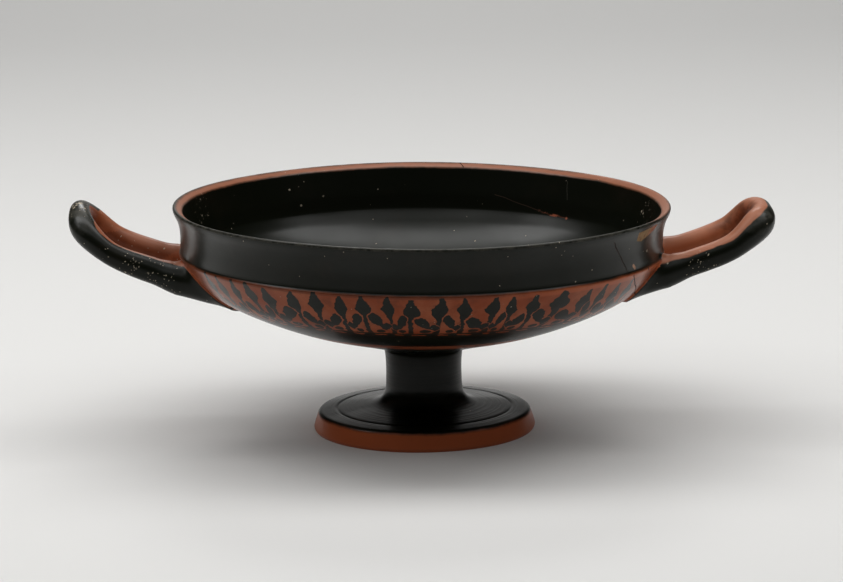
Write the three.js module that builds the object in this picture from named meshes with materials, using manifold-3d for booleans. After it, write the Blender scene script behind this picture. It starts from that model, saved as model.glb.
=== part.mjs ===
// A Greek kylix of the floral band cup kind: a shallow wine cup of fired clay with an offset lip, a short
// stem, a disc foot and two upturned handles, all joined as one piece. Millimetres, +Z up; the origin is on
// the table under the middle of the foot. The handles point along -X and +X.
import * as THREE from "three";
import { mergeVertices } from "three/addons/utils/BufferGeometryUtils.js";
import Module from "manifold-3d";

// Foot and stem.
const FOOT_RADIUS = 46.2;
const FOOT_EDGE_RADIUS = 44.3;
const FOOT_EDGE_HEIGHT = 7.4;
const FOOT_CROWN_RADIUS = 24;
const FOOT_CROWN_HEIGHT = 10.5;
const GROOVE_RADIUS = 36.3;
const GROOVE_HALF_WIDTH = 0.8;
const GROOVE_DEPTH = 0.6;
const STEM_RADIUS = 15.7;
const STEM_WAIST_HEIGHT = 25;
const STEM_TOP = 33;

// The hollow under the foot: a flat ring to stand on, a shallow cone and a bore that goes up into the stem.
const RING_INNER_RADIUS = 37.5;
const CONE_RADIUS = 33.5;
const CONE_HEIGHT = 4;
const BORE_RADIUS = 7;
const BORE_MOUTH_RADIUS = 16;
const BORE_MOUTH_HEIGHT = 7.4;
const BORE_TOP = 26;

// Bowl and lip. The lip stands on the shoulder, and the crease is the shoulder's line inside the cup.
const SHOULDER_RADIUS = 100.4;
const SHOULDER_HEIGHT = 75.6;
const CREASE_RADIUS = 95;
const FLOOR_HEIGHT = 41.4;
const LIP_RADIUS = 99.6;
const LIP_STRAIGHT = 7.5;
const RIM_RADIUS = 102.5;
const RIM_HEIGHT = 95.2;
const RIM_CREST = 1;
const RIM_THICKNESS = 4.2;

// The bowl was joined to its stem out of level. It drops towards +X by this angle, and the foot stays
// flat below this height.
const BOWL_TILT_DEG = 0.87;
const LEVEL_BELOW = 12;

// One limb of a handle, from its root inside the wall to the middle of the handle's end: how far out it is
// from the cup's axis, how far aside from the handle's middle, and its height and radius on each side. The
// handle on the right stands a little higher and has a heavier end.
const LIMB = [
  { out: 70, aside: 27, height: { left: 62.5, right: 65 }, radius: { left: 7.5, right: 7.5 } },
  { out: 84, aside: 24, height: { left: 65.7, right: 68 }, radius: { left: 8.4, right: 8.4 } },
  { out: 98, aside: 20, height: { left: 67, right: 69.8 }, radius: { left: 7, right: 7 } },
  { out: 110, aside: 18.4, height: { left: 70.2, right: 73 }, radius: { left: 5.4, right: 5.4 } },
  { out: 127.5, aside: 18.2, height: { left: 77.4, right: 80 }, radius: { left: 4.8, right: 5.3 } },
  { out: 138, aside: 13.5, height: { left: 86, right: 88.1 }, radius: { left: 5.6, right: 6.4 } },
  { out: 141, aside: 0, height: { left: 91.7, right: 90.8 }, radius: { left: 4.3, right: 4.5 } },
];

// How far the core that trims the handles' roots reaches into the wall.
const CORE_INTO_WALL = 1.5;

// How finely round shapes are divided.
const WHEEL_SEGMENTS = 68;
const CURVE_DIVISIONS = 2;
const HANDLE_SIDES = 10;
const HANDLE_STEPS = 36;
const MERGE_DISTANCE = 1e-4;

const wasm = await Module();
wasm.setup();

// A closed geometry as a manifold-3d solid, without the faces that shrink to nothing on the axis.
function solidOf(geometry) {
  const bare = geometry.clone();
  bare.deleteAttribute("normal");
  bare.deleteAttribute("uv");
  const merged = mergeVertices(bare, MERGE_DISTANCE);
  const corners = merged.index.array;
  const faces = [];
  for (let i = 0; i < corners.length; i += 3) {
    const [a, b, c] = corners.slice(i, i + 3);
    if (a !== b && b !== c && c !== a) faces.push(a, b, c);
  }
  return new wasm.Manifold(
    new wasm.Mesh({
      numProp: 3,
      vertProperties: merged.attributes.position.array,
      triVerts: new Uint32Array(faces),
    }),
  );
}

function geometryOf(solid) {
  const mesh = solid.getMesh();
  const geometry = new THREE.BufferGeometry();
  geometry.setAttribute("position", new THREE.BufferAttribute(mesh.vertProperties, 3));
  geometry.setIndex(new THREE.BufferAttribute(mesh.triVerts, 1));
  return geometry;
}

// A profile of (radius, height) points turned about the cup's axis.
function turned(path) {
  const geometry = new THREE.LatheGeometry(path.getPoints(CURVE_DIVISIONS), WHEEL_SEGMENTS);
  return geometry.rotateX(Math.PI / 2);
}

function vectors(pairs) {
  return pairs.map(([radius, height]) => new THREE.Vector2(radius, height));
}

// The underside of the foot, from the top of the bore out to the ring.
function addUnderside(path) {
  path.moveTo(0, BORE_TOP);
  path.lineTo(BORE_RADIUS - 2.5, BORE_TOP - 1);
  path.lineTo(BORE_RADIUS, BORE_TOP - 6);
  path.quadraticCurveTo(BORE_RADIUS, BORE_MOUTH_HEIGHT + 1.6, BORE_MOUTH_RADIUS, BORE_MOUTH_HEIGHT);
  path.lineTo(CONE_RADIUS, CONE_HEIGHT);
  path.lineTo(RING_INNER_RADIUS - 1, CONE_HEIGHT - 1.2);
  path.lineTo(RING_INNER_RADIUS, 0);
  path.lineTo(FOOT_RADIUS - 0.6, 0);
}

// The bevelled edge of the foot, its top with one turned groove, and the stem up to the bowl.
function addFootAndStem(path) {
  const grooveHeight = FOOT_EDGE_HEIGHT + 1.6;
  path.lineTo(FOOT_RADIUS, 1.4);
  path.lineTo(FOOT_EDGE_RADIUS, FOOT_EDGE_HEIGHT);
  path.lineTo(FOOT_EDGE_RADIUS - 1, FOOT_EDGE_HEIGHT + 0.9);
  path.lineTo(GROOVE_RADIUS + GROOVE_HALF_WIDTH, grooveHeight);
  path.lineTo(GROOVE_RADIUS, grooveHeight - GROOVE_DEPTH);
  path.lineTo(GROOVE_RADIUS - GROOVE_HALF_WIDTH, grooveHeight);
  path.lineTo(FOOT_CROWN_RADIUS, FOOT_CROWN_HEIGHT);
  path.bezierCurveTo(18.5, 11.4, STEM_RADIUS + 0.4, 13.6, STEM_RADIUS + 0.1, 19.5);
  path.lineTo(STEM_RADIUS, STEM_WAIST_HEIGHT);
  path.quadraticCurveTo(STEM_RADIUS, 30, STEM_RADIUS + 0.5, STEM_TOP);
  path.quadraticCurveTo(STEM_RADIUS + 1, STEM_TOP + 1.6, STEM_RADIUS + 4.3, STEM_TOP + 2.5);
}

// The outside of the bowl up to its shoulder: nearly flat at first, then ever steeper.
function addBowl(path) {
  path.splineThru(vectors([[34, 39.5], [56, 45.5], [75, 53.1], [88, 60.3], [95, 67.2]]));
  path.lineTo(SHOULDER_RADIUS, SHOULDER_HEIGHT - 0.4);
}

// The concave lip above the shoulder, the rim with its crest outside and a bevel that falls inwards, and the
// inner face down to the crease.
function addLip(path) {
  const rimInside = RIM_RADIUS - RIM_THICKNESS;
  path.quadraticCurveTo(SHOULDER_RADIUS + 0.1, SHOULDER_HEIGHT + 0.4, LIP_RADIUS, SHOULDER_HEIGHT + 0.9);
  path.lineTo(LIP_RADIUS, SHOULDER_HEIGHT + LIP_STRAIGHT);
  path.quadraticCurveTo(LIP_RADIUS + 0.2, RIM_HEIGHT - 6.4, RIM_RADIUS - 0.9, RIM_HEIGHT - 3.4);
  path.quadraticCurveTo(RIM_RADIUS, RIM_HEIGHT - 1.8, RIM_RADIUS, RIM_HEIGHT - 0.9);
  path.quadraticCurveTo(RIM_RADIUS, RIM_HEIGHT, RIM_RADIUS - RIM_CREST, RIM_HEIGHT);
  path.lineTo(rimInside + 0.9, RIM_HEIGHT - 1.4);
  path.quadraticCurveTo(rimInside, RIM_HEIGHT - 1.8, rimInside, RIM_HEIGHT - 2.8);
  path.lineTo(CREASE_RADIUS + 0.9, SHOULDER_HEIGHT + 6);
  path.quadraticCurveTo(CREASE_RADIUS + 0.3, SHOULDER_HEIGHT + 0.6, CREASE_RADIUS, SHOULDER_HEIGHT);
}

// The inside of the bowl, about 4.5 mm in from its outside, from the crease down to the middle of its floor.
function addInterior(path) {
  path.splineThru(vectors([[91.5, 70], [84, 63.4], [72, 56.8], [54, 50]]));
  path.quadraticCurveTo(26, FLOOR_HEIGHT, 0, FLOOR_HEIGHT);
}

function makeBody() {
  const path = new THREE.Path();
  addUnderside(path);
  addFootAndStem(path);
  addBowl(path);
  addLip(path);
  addInterior(path);
  return solidOf(turned(path));
}

// The room inside the cup and part of its wall, which the roots of the handles don't enter.
function makeCore() {
  const top = 2 * RIM_HEIGHT;
  const path = new THREE.Path();
  path.moveTo(0, FLOOR_HEIGHT - CORE_INTO_WALL);
  path.lineTo(62 + CORE_INTO_WALL, 52.7 - CORE_INTO_WALL);
  path.lineTo(87 + CORE_INTO_WALL, 65.7 - CORE_INTO_WALL);
  path.lineTo(CREASE_RADIUS + CORE_INTO_WALL, SHOULDER_HEIGHT);
  path.lineTo(CREASE_RADIUS + CORE_INTO_WALL, top);
  path.lineTo(0, top);
  return solidOf(turned(path));
}

// A round bar along a curve, whose radius changes smoothly from one station to the next.
function makeBar(stations, radii) {
  const curve = new THREE.CatmullRomCurve3(stations);
  const bar = new THREE.CylinderGeometry(1, 1, 1, HANDLE_SIDES, HANDLE_STEPS);
  const up = new THREE.Vector3(0, 0, 1);
  const place = bar.attributes.position;
  for (let i = 0; i < place.count; i += 1) {
    const along = place.getY(i) + 0.5;
    const tangent = curve.getTangent(along);
    const aside = new THREE.Vector3().crossVectors(tangent, up).normalize();
    const above = new THREE.Vector3().crossVectors(aside, tangent);
    const step = along * (radii.length - 1);
    const from = Math.min(Math.floor(step), radii.length - 2);
    const blend = THREE.MathUtils.smoothstep(step - from, 0, 1);
    const radius = THREE.MathUtils.lerp(radii[from], radii[from + 1], blend);
    const centre = curve.getPoint(along);
    centre.addScaledVector(aside, radius * place.getX(i));
    centre.addScaledVector(above, radius * place.getZ(i));
    place.setXYZ(i, centre.x, centre.y, centre.z);
  }
  return solidOf(bar);
}

// A handle: the limb at its front, its end and the limb at its back.
function makeHandle(side) {
  const hand = side < 0 ? "left" : "right";
  const front = LIMB.map((at) => new THREE.Vector3(side * at.out, -at.aside, at.height[hand]));
  const back = front.slice(0, -1).map((at) => new THREE.Vector3(at.x, -at.y, at.z));
  const radii = LIMB.map((at) => at.radius[hand]);
  return makeBar([...front, ...back.reverse()], [...radii, ...radii.slice(0, -1).reverse()]);
}

// Sets the bowl out of level: the foot stays flat on the table, and the stem takes up the difference.
function tilt(geometry) {
  const slope = Math.tan(THREE.MathUtils.degToRad(BOWL_TILT_DEG));
  const place = geometry.attributes.position;
  for (let i = 0; i < place.count; i += 1) {
    const share = THREE.MathUtils.smoothstep(place.getZ(i), LEVEL_BELOW, STEM_TOP);
    place.setZ(i, place.getZ(i) - share * slope * place.getX(i));
  }
  geometry.computeVertexNormals();
  return geometry;
}

const core = makeCore();
const cup = makeBody()
  .add(makeHandle(-1).subtract(core))
  .add(makeHandle(1).subtract(core));

const kylix = new THREE.Mesh(
  tilt(geometryOf(cup)),
  new THREE.MeshStandardMaterial({ color: 0x23241f, roughness: 0.3, metalness: 0 }),
);
kylix.name = "kylix";

const group = new THREE.Group();
group.add(kylix);

export default group;
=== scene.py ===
"""A Greek kylix with a painted floral band: fired orange clay under glossy black slip.

Lengths in the shape functions are millimetres and become metres when a mesh is made. +Z is up, the
handles point along -X and +X, and the side that is seen first faces -Y.
"""

import math

import bpy
import numpy as np
from mathutils import Matrix, Vector


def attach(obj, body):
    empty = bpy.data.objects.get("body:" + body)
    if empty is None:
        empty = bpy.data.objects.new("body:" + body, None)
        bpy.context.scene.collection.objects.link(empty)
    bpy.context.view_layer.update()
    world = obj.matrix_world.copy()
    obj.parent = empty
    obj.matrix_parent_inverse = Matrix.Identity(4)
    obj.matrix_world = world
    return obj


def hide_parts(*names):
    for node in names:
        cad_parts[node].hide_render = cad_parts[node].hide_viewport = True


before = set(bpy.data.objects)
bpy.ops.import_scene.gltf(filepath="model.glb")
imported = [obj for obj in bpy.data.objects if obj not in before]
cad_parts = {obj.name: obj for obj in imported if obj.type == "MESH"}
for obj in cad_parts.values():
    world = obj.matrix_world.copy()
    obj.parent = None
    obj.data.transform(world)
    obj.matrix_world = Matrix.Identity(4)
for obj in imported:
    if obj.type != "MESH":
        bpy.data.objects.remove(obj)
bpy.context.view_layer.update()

MM = 0.001

# Under the foot. A pair is a (radius, height) on the section, here and below.
BORE_TOP = 26
BORE_RADIUS = 7
BORE_MOUTH = (16, 7.4)
CONE_EDGE = (33.5, 4)
RING_INNER_RADIUS = 37.5

# Foot and stem.
FOOT_RADIUS = 46.2
FOOT_EDGE = (44.3, 7.4)
FOOT_CROWN = (24, 10.5)
GROOVE_RADIUS = 36.3
GROOVE_HALF_WIDTH = 0.8
GROOVE_DEPTH = 0.6
GROOVE_HEIGHT = 9
STEM_RADIUS = 15.7
STEM_WAIST_HEIGHT = 25
STEM_TOP = 33

# Bowl and lip.
BOWL_OUTSIDE = ((34, 39.5), (56, 45.5), (75, 53.1), (88, 60.3), (95, 67.2))
BOWL_INSIDE = ((91.5, 70), (84, 63.4), (72, 56.8), (54, 50))
SHOULDER = (100.4, 75.6)
CREASE_RADIUS = 95
FLOOR_HEIGHT = 41.4
FLOOR_RADIUS = 26
LIP_RADIUS = 99.6
LIP_STRAIGHT = 7.5
RIM_RADIUS = 102.5
RIM_HEIGHT = 95.2
RIM_CREST = 1
RIM_THICKNESS = 4.2
BOWL_TILT_DEG = 0.87
LEVEL_BELOW = 12
CORE_INTO_WALL = 1.5

# One limb of a handle, root to end: out from the axis, aside from the middle, height left and
# right, radius left and right.
LIMB = np.array(
    [
        (70, 27, 62.5, 65, 7.5, 7.5),
        (84, 24, 65.7, 68, 8.4, 8.4),
        (98, 20, 67, 69.8, 7, 7),
        (110, 18.4, 70.2, 73, 5.4, 5.4),
        (127.5, 18.2, 77.4, 80, 4.8, 5.3),
        (138, 13.5, 86, 88.1, 5.6, 6.4),
        (141, 0, 91.7, 90.8, 4.3, 4.5),
    ]
)

# A rolled handle's unevenness, and its root's spread on the wall: how much, over what distance
# and from which radius of the cup outwards.
ROLLED_UNEVEN = 0.012
ROOT_SPREAD = 1.2
ROOT_REACH = 3
ROOT_FROM_RADIUS = 60

# How uneven the wheel left the cup: shares of the size, and millimetres.
THROWN_SHRINK = 0.0005
HANDLE_SHRINK = 0.0018
RIGHT_LIP_SHIFT = 0.5
RIM_WAVE = 0.11
RIM_LOW_NEAR = 0.4
RIM_HIGH_FAR = 0.6

# Fineness of the meshes.
PROFILE_ROWS = 232
WHEEL_COLUMNS = 288
HANDLE_RINGS = 170
HANDLE_SIDES = 36
CORE_COLUMNS = 96
SHARP_ANGLE_DEG = 50


# ---- shapes


def straight(start, end, step=0.1):
    """Points on a line: start plus t times the way to the end, t from 0 to 1."""
    start, end = np.array(start, float), np.array(end, float)
    count = max(2, math.ceil(math.dist(start, end) / step))
    t = np.linspace(0, 1, count + 1)[1:, None]
    return start + (end - start) * t


def bent(*controls):
    """Points on a Bezier curve: each control point times its Bernstein weight of t, all added."""
    controls = np.array(controls, float)
    order = len(controls) - 1
    t = np.linspace(0, 1, 81)[1:, None]
    weights = [math.comb(order, i) * (1 - t) ** (order - i) * t**i for i in range(order + 1)]
    return sum(w * c for w, c in zip(weights, controls))


def cubic(here, there, leave, arrive, t):
    """The cubic from here to there that leaves and arrives as given, at t from 0 to 1."""
    return (
        (2 * here - 2 * there + leave + arrive) * t**3
        + (3 * there - 3 * here - 2 * leave - arrive) * t**2
        + leave * t
        + here
    )


def swept_through(*points):
    """Points on a Catmull-Rom spline: between two stations, a cubic that leaves each with half of
    the step from the station before it to the station after it. The end stations count twice."""
    points = np.array(points, float)
    padded = np.vstack([points[:1], points, points[-1:]])
    t = np.linspace(0, 1, 41)[1:, None]
    pieces = []
    for before, here, there, after in zip(padded, padded[1:], padded[2:], padded[3:]):
        pieces.append(cubic(here, there, (there - before) / 2, (after - here) / 2, t))
    return np.vstack(pieces)


def cup_profile():
    """The cup's section as (radius, height): from the top of the bore, under the foot, up the
    stem, out along the bowl, over the rim and down to the middle of the floor. Lines, Bezier
    curves and splines, end to end."""
    path = [np.array([[0.0, BORE_TOP]])]

    def to(maker, *points):
        path.append(maker(path[-1][-1], *points))

    to(straight, (BORE_RADIUS - 2.5, BORE_TOP - 1))
    to(straight, (BORE_RADIUS, BORE_TOP - 6))
    to(bent, (BORE_RADIUS, BORE_MOUTH[1] + 1.6), BORE_MOUTH)
    to(straight, CONE_EDGE)
    to(straight, (RING_INNER_RADIUS - 1, 2.8))
    to(straight, (RING_INNER_RADIUS, 0))
    to(straight, (FOOT_RADIUS - 0.6, 0))
    to(straight, (FOOT_RADIUS, 1.4))
    to(straight, FOOT_EDGE)
    to(straight, (FOOT_EDGE[0] - 1, FOOT_EDGE[1] + 0.9))
    to(straight, (GROOVE_RADIUS + GROOVE_HALF_WIDTH, GROOVE_HEIGHT))
    to(straight, (GROOVE_RADIUS, GROOVE_HEIGHT - GROOVE_DEPTH))
    to(straight, (GROOVE_RADIUS - GROOVE_HALF_WIDTH, GROOVE_HEIGHT))
    to(straight, FOOT_CROWN)
    to(bent, (18.5, 11.4), (STEM_RADIUS + 0.4, 13.6), (STEM_RADIUS + 0.1, 19.5))
    to(straight, (STEM_RADIUS, STEM_WAIST_HEIGHT))
    to(bent, (STEM_RADIUS, 30), (STEM_RADIUS + 0.5, STEM_TOP))
    to(bent, (STEM_RADIUS + 1, STEM_TOP + 1.6), (STEM_RADIUS + 4.3, STEM_TOP + 2.5))
    to(swept_through, *BOWL_OUTSIDE)
    shoulder_radius, shoulder_height = SHOULDER
    to(straight, (shoulder_radius, shoulder_height - 0.4))
    to(bent, (shoulder_radius + 0.1, shoulder_height + 0.4), (LIP_RADIUS, shoulder_height + 0.9))
    to(straight, (LIP_RADIUS, shoulder_height + LIP_STRAIGHT))
    to(bent, (LIP_RADIUS + 0.2, RIM_HEIGHT - 6.4), (RIM_RADIUS - 0.9, RIM_HEIGHT - 3.4))
    to(bent, (RIM_RADIUS, RIM_HEIGHT - 1.8), (RIM_RADIUS, RIM_HEIGHT - 0.9))
    to(bent, (RIM_RADIUS, RIM_HEIGHT), (RIM_RADIUS - RIM_CREST, RIM_HEIGHT))
    inner = RIM_RADIUS - RIM_THICKNESS
    to(straight, (inner + 0.9, RIM_HEIGHT - 1.4))
    to(bent, (inner, RIM_HEIGHT - 1.8), (inner, RIM_HEIGHT - 2.8))
    to(straight, (CREASE_RADIUS + 0.9, shoulder_height + 6))
    to(bent, (CREASE_RADIUS + 0.3, shoulder_height + 0.6), (CREASE_RADIUS, shoulder_height))
    to(swept_through, *BOWL_INSIDE)
    to(bent, (FLOOR_RADIUS, FLOOR_HEIGHT), (0, FLOOR_HEIGHT))
    return np.vstack(path)


def lengths_along(points):
    """Running length of a chain of points: the sum of the steps so far."""
    return np.r_[0, np.cumsum(np.linalg.norm(np.diff(points, axis=0), axis=1))]


def worn_corners(profile, reach=0.28, step=0.05):
    """The profile with its corners worn round: even steps of length, each point the Gaussian mean
    of its neighbours. The ends stay on the axis, because the profile is mirrored there."""
    run = lengths_along(profile)
    even = np.linspace(0, run[-1], int(run[-1] / step))
    radius = np.interp(even, run, profile[:, 0])
    height = np.interp(even, run, profile[:, 1])
    pad = int(4 * reach / step)
    offsets = np.arange(-pad, pad + 1)
    weights = np.exp(-0.5 * (offsets * step / reach) ** 2)
    weights /= weights.sum()
    radius = np.r_[-radius[pad:0:-1], radius, -radius[-2 : -pad - 2 : -1]]
    height = np.r_[height[pad:0:-1], height, height[-2 : -pad - 2 : -1]]
    smooth = np.c_[np.convolve(radius, weights, "valid"), np.convolve(height, weights, "valid")]
    smooth[[0, -1], 0] = 0
    smooth[:, 1] = np.maximum(smooth[:, 1], 0)
    return smooth


def spaced_by_bend(profile, rows):
    """Rows picked from a dense profile: rows per millimetre grow with the root of the bend."""
    run = lengths_along(profile)
    way = np.gradient(profile, run, axis=0)
    bend = np.linalg.norm(np.gradient(way, run, axis=0), axis=1)
    bend = np.convolve(bend, np.ones(9) / 9, "same")
    share = 1 / np.clip(np.sqrt(0.06 / np.maximum(bend, 1e-4)), 0.3, 2.6)
    share = np.r_[0, np.cumsum((share[1:] + share[:-1]) / 2 * np.diff(run))]
    picked = np.interp(np.linspace(0, share[-1], rows), share, run)
    return np.c_[np.interp(picked, run, profile[:, 0]), np.interp(picked, run, profile[:, 1])]


def ring_faces(at):
    """Four-sided faces between each ring of point numbers and the next one."""
    beside = np.roll(at, -1, axis=1)
    return np.stack([at[:-1], beside[:-1], beside[1:], at[1:]], axis=-1).reshape(-1, 4).tolist()


def turned(section, columns):
    """A section turned about the axis: x = radius times sine of the angle, y = minus radius times
    cosine, z = height. The first and last rows are single points on the axis."""
    angle = np.linspace(0, 2 * np.pi, columns, endpoint=False)
    radius, height = section[1:-1, :1], section[1:-1, 1:]
    level = np.broadcast_to(height, (len(radius), columns))
    ring = np.stack([radius * np.sin(angle), -radius * np.cos(angle), level], axis=-1)
    ring = ring.reshape(-1, 3)
    points = np.vstack([ring, [[0, 0, section[0, 1]], [0, 0, section[-1, 1]]]])
    at = np.arange(len(ring)).reshape(-1, columns)
    first, last = np.full(columns, len(ring)), np.full(columns, len(ring) + 1)
    start = np.stack([first, np.roll(at[0], -1), at[0]], axis=-1)
    end = np.stack([last, at[-1], np.roll(at[-1], -1)], axis=-1)
    return points, ring_faces(at) + start.tolist() + end.tolist()


def smooth_step(value, low, high):
    """0 below low, 1 above high, and 3t squared minus 2t cubed between them."""
    t = np.clip((value - low) / (high - low), 0, 1)
    return t * t * (3 - 2 * t)


def handle_path(side):
    """Stations of one handle, front root to back root, with a radius each, on a centripetal
    Catmull-Rom curve: each stretch is the cubic whose end directions follow its neighbours,
    weighted by the root of their lengths."""
    hand = 0 if side < 0 else 1
    height = LIMB[:, 2 + hand]
    front = np.c_[side * LIMB[:, 0], -LIMB[:, 1], height]
    back = front[-2::-1] * [1, -1, 1]
    stations = np.vstack([front, back])
    radii = np.r_[LIMB[:, 4 + hand], LIMB[-2::-1, 4 + hand]]
    beyond = 2 * stations[[0, -1]] - stations[[1, -2]]
    padded = np.vstack([beyond[0], stations, beyond[1]])
    gaps = np.sqrt(np.linalg.norm(np.diff(padded, axis=0), axis=1))[:, None]
    step = np.linspace(0, len(stations) - 1, HANDLE_RINGS)
    at = np.minimum(step.astype(int), len(stations) - 2)
    t = (step - at)[:, None]
    before, here, there, after = (padded[at + k] for k in range(4))
    gap_before, gap, gap_after = (gaps[at + k] for k in range(3))
    leave = gap * (
        (here - before) / gap_before
        - (there - before) / (gap_before + gap)
        + (there - here) / gap
    )
    arrive = gap * (
        (there - here) / gap - (after - here) / (gap + gap_after) + (after - there) / gap_after
    )
    blend = smooth_step(t[:, 0], 0, 1)
    radius = radii[at] * (1 - blend) + radii[at + 1] * blend
    return cubic(here, there, leave, arrive, t), radius


def handle_directions(path, side):
    """At each point of the path, the direction into the loop and the one up and square to it."""
    along = np.gradient(path, axis=0)
    along /= np.linalg.norm(along, axis=1, keepdims=True)
    aside = np.cross(along, [0, 0, 1])
    aside /= np.linalg.norm(aside, axis=1, keepdims=True)
    above = np.cross(aside, along)
    return -side * aside, above


def off_profile(points, section):
    """For each point, the length along the section to its nearest place, and the gap to it."""
    flat = np.c_[np.hypot(points[:, 0], points[:, 1]), points[:, 2]]
    run = lengths_along(section)
    start, way = section[:-1], np.diff(section, axis=0)
    size = (way**2).sum(1)
    along, off = np.empty(len(flat)), np.empty(len(flat))
    for some in np.array_split(np.arange(len(flat)), max(1, len(flat) // 8000)):
        gap = flat[some, None] - start
        t = np.clip((gap * way).sum(2) / size, 0, 1)
        apart = np.linalg.norm(gap - t[:, :, None] * way, axis=2)
        best = apart.argmin(1)
        off[some] = apart[np.arange(len(some)), best]
        along[some] = run[best] + t[np.arange(len(some)), best] * np.sqrt(size[best])
    return along, off


def handle_bar(side, section):
    """A round bar along the handle's path: centre plus radius times (inward times cosine plus
    upward times sine). Near the wall the radius grows by the square of what is left of the last
    few millimetres, as pressed clay does, and elsewhere it swells and shrinks a little, as a bar
    rolled by hand."""
    path, radius = handle_path(side)
    inward, above = handle_directions(path, side)
    turn = np.linspace(0, 2 * np.pi, HANDLE_SIDES, endpoint=False)
    spoke = inward[:, None] * np.cos(turn)[:, None] + above[:, None] * np.sin(turn)[:, None]
    step = np.linspace(0, 1, HANDLE_RINGS)[:, None]
    swell = 1 + np.sin(23 * step + 3 * np.cos(turn) + side)
    flatten = 0.5 + 0.5 * np.cos(2 * turn + 9 * step)
    size = radius[:, None] * (1 - ROLLED_UNEVEN * swell * flatten)
    points = path[:, None] + spoke * size[..., None]
    _, off = off_profile(points.reshape(-1, 3), section)
    from_axis = np.hypot(points[..., 0], points[..., 1]).reshape(-1)
    pressed = ROOT_SPREAD * np.clip(1 - off / ROOT_REACH, 0, 1) ** 2
    spread = np.where(from_axis > ROOT_FROM_RADIUS, pressed, 0)
    points = points + spoke * spread.reshape(HANDLE_RINGS, HANDLE_SIDES, 1)
    at = np.arange(HANDLE_RINGS * HANDLE_SIDES).reshape(HANDLE_RINGS, HANDLE_SIDES)
    faces = ring_faces(at) + [at[0, ::-1].tolist(), at[-1].tolist()]
    if side < 0:
        faces = [face[::-1] for face in faces]
    return points.reshape(-1, 3), faces


def out_of_level(points):
    """The bowl was joined to its stem out of level: height less the tangent of the tilt times x,
    which fades out down the stem, so the foot stays flat."""
    lowered = points.copy()
    share = smooth_step(points[:, 2], LEVEL_BELOW, STEM_TOP)
    lowered[:, 2] -= share * math.tan(math.radians(BOWL_TILT_DEG)) * points[:, 0]
    return lowered


def hand_thrown(points):
    """Slight unevenness from the wheel: radius and height shrink by slow waves of the angle. The
    rim is low on the near side and high on the far side, and the lip stands out to the right."""
    x, y, z = points.T
    angle = np.arctan2(x, -y)
    high = smooth_step(z, 40, 95)
    body = np.hypot(x, y) < 104
    shrink = THROWN_SHRINK * high * (2 + np.sin(2 * angle + 0.8) + np.sin(3 * angle + 2.1))
    moved = points.copy()
    moved[:, :2] *= 1 - np.where(body, shrink, 0)[:, None]
    moved[:, 0] *= 1 - HANDLE_SHRINK * smooth_step(np.abs(x), 115, 146)
    right_lip = np.where(body, smooth_step(x, 60, 100), 0)
    moved[:, 0] += RIGHT_LIP_SHIFT * smooth_step(z, 78, 92) * right_lip
    wave = RIM_WAVE * (2 + np.sin(2 * angle - 0.5) + np.sin(5 * angle + 1))
    wave += RIM_LOW_NEAR * np.maximum(np.cos(angle), 0) ** 2
    wave -= RIM_HIGH_FAR * np.maximum(-np.cos(angle), 0) ** 2
    moved[:, 2] -= high * np.where(body, wave, 0)
    return moved


# ---- meshes


def placed(name, data):
    """An object with this data, linked into the scene."""
    obj = bpy.data.objects.new(name, data)
    bpy.context.scene.collection.objects.link(obj)
    return obj


def put(name, points, faces):
    """A mesh object with its place in its mesh, in metres, its faces turned outwards."""
    mesh = bpy.data.meshes.new(name)
    mesh.from_pydata((np.asarray(points) * MM).tolist(), [], faces)
    corners = np.array([(f[0], f[k], f[k + 1]) for f in faces for k in range(1, len(f) - 1)])
    a, b, c = (np.asarray(points)[corners[:, k]] for k in range(3))
    if (np.cross(a, b) * c).sum() < 0:
        mesh.flip_normals()
    mesh.update()
    return placed(name, mesh)


def combined(base, other, operation):
    """The two closed meshes joined or cut as solids; both inputs are used up."""
    change = base.modifiers.new("combine", "BOOLEAN")
    change.operation = operation
    change.solver = "EXACT"
    change.object = other
    solved = base.evaluated_get(bpy.context.evaluated_depsgraph_get())
    made = bpy.data.meshes.new_from_object(solved)
    result = placed(base.name, made)
    for used in (base, other):
        bpy.data.objects.remove(used)
    return result


def core_section():
    """The room inside the cup and part of its wall, which the roots of the handles don't enter."""
    into = CORE_INTO_WALL
    return np.array(
        [
            (0, FLOOR_HEIGHT - into),
            (62 + into, 52.7 - into),
            (87 + into, 65.7 - into),
            (CREASE_RADIUS + into, SHOULDER[1]),
            (CREASE_RADIUS + into, 2 * RIM_HEIGHT),
            (0, 2 * RIM_HEIGHT),
        ]
    )


def limb_place(points, proud):
    """For points on the handles: how far along the loop they are, 0 to 1, and the cosine and sine
    of their turn about it, 0 being the side that faces into the loop."""
    place = np.zeros((len(points), 3))
    for side in (-1, 1):
        mine = np.flatnonzero((points[:, 0] * side > 0) & (proud > 0.02))
        path, _ = handle_path(side)
        inward, above = handle_directions(path, side)
        for some in np.array_split(mine, max(1, len(mine) // 4000)):
            gap = points[some, None] - path
            best = (gap**2).sum(2).argmin(1)
            spoke = gap[np.arange(len(some)), best]
            spoke /= np.maximum(np.linalg.norm(spoke, axis=1, keepdims=True), 1e-6)
            place[some, 0] = best / (HANDLE_RINGS - 1)
            place[some, 1] = (spoke * inward[best]).sum(1)
            place[some, 2] = (spoke * above[best]).sum(1)
    return place


section = spaced_by_bend(worn_corners(cup_profile()), PROFILE_ROWS)
kylix = put("kylix_body", *turned(section, WHEEL_COLUMNS))
for side in (-1, 1):
    handle = put("handle", *handle_bar(side, section))
    core = put("core", *turned(core_section(), CORE_COLUMNS))
    kylix = combined(kylix, combined(handle, core, "DIFFERENCE"), "UNION")
kylix.name = kylix.data.name = "kylix_body"

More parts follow.
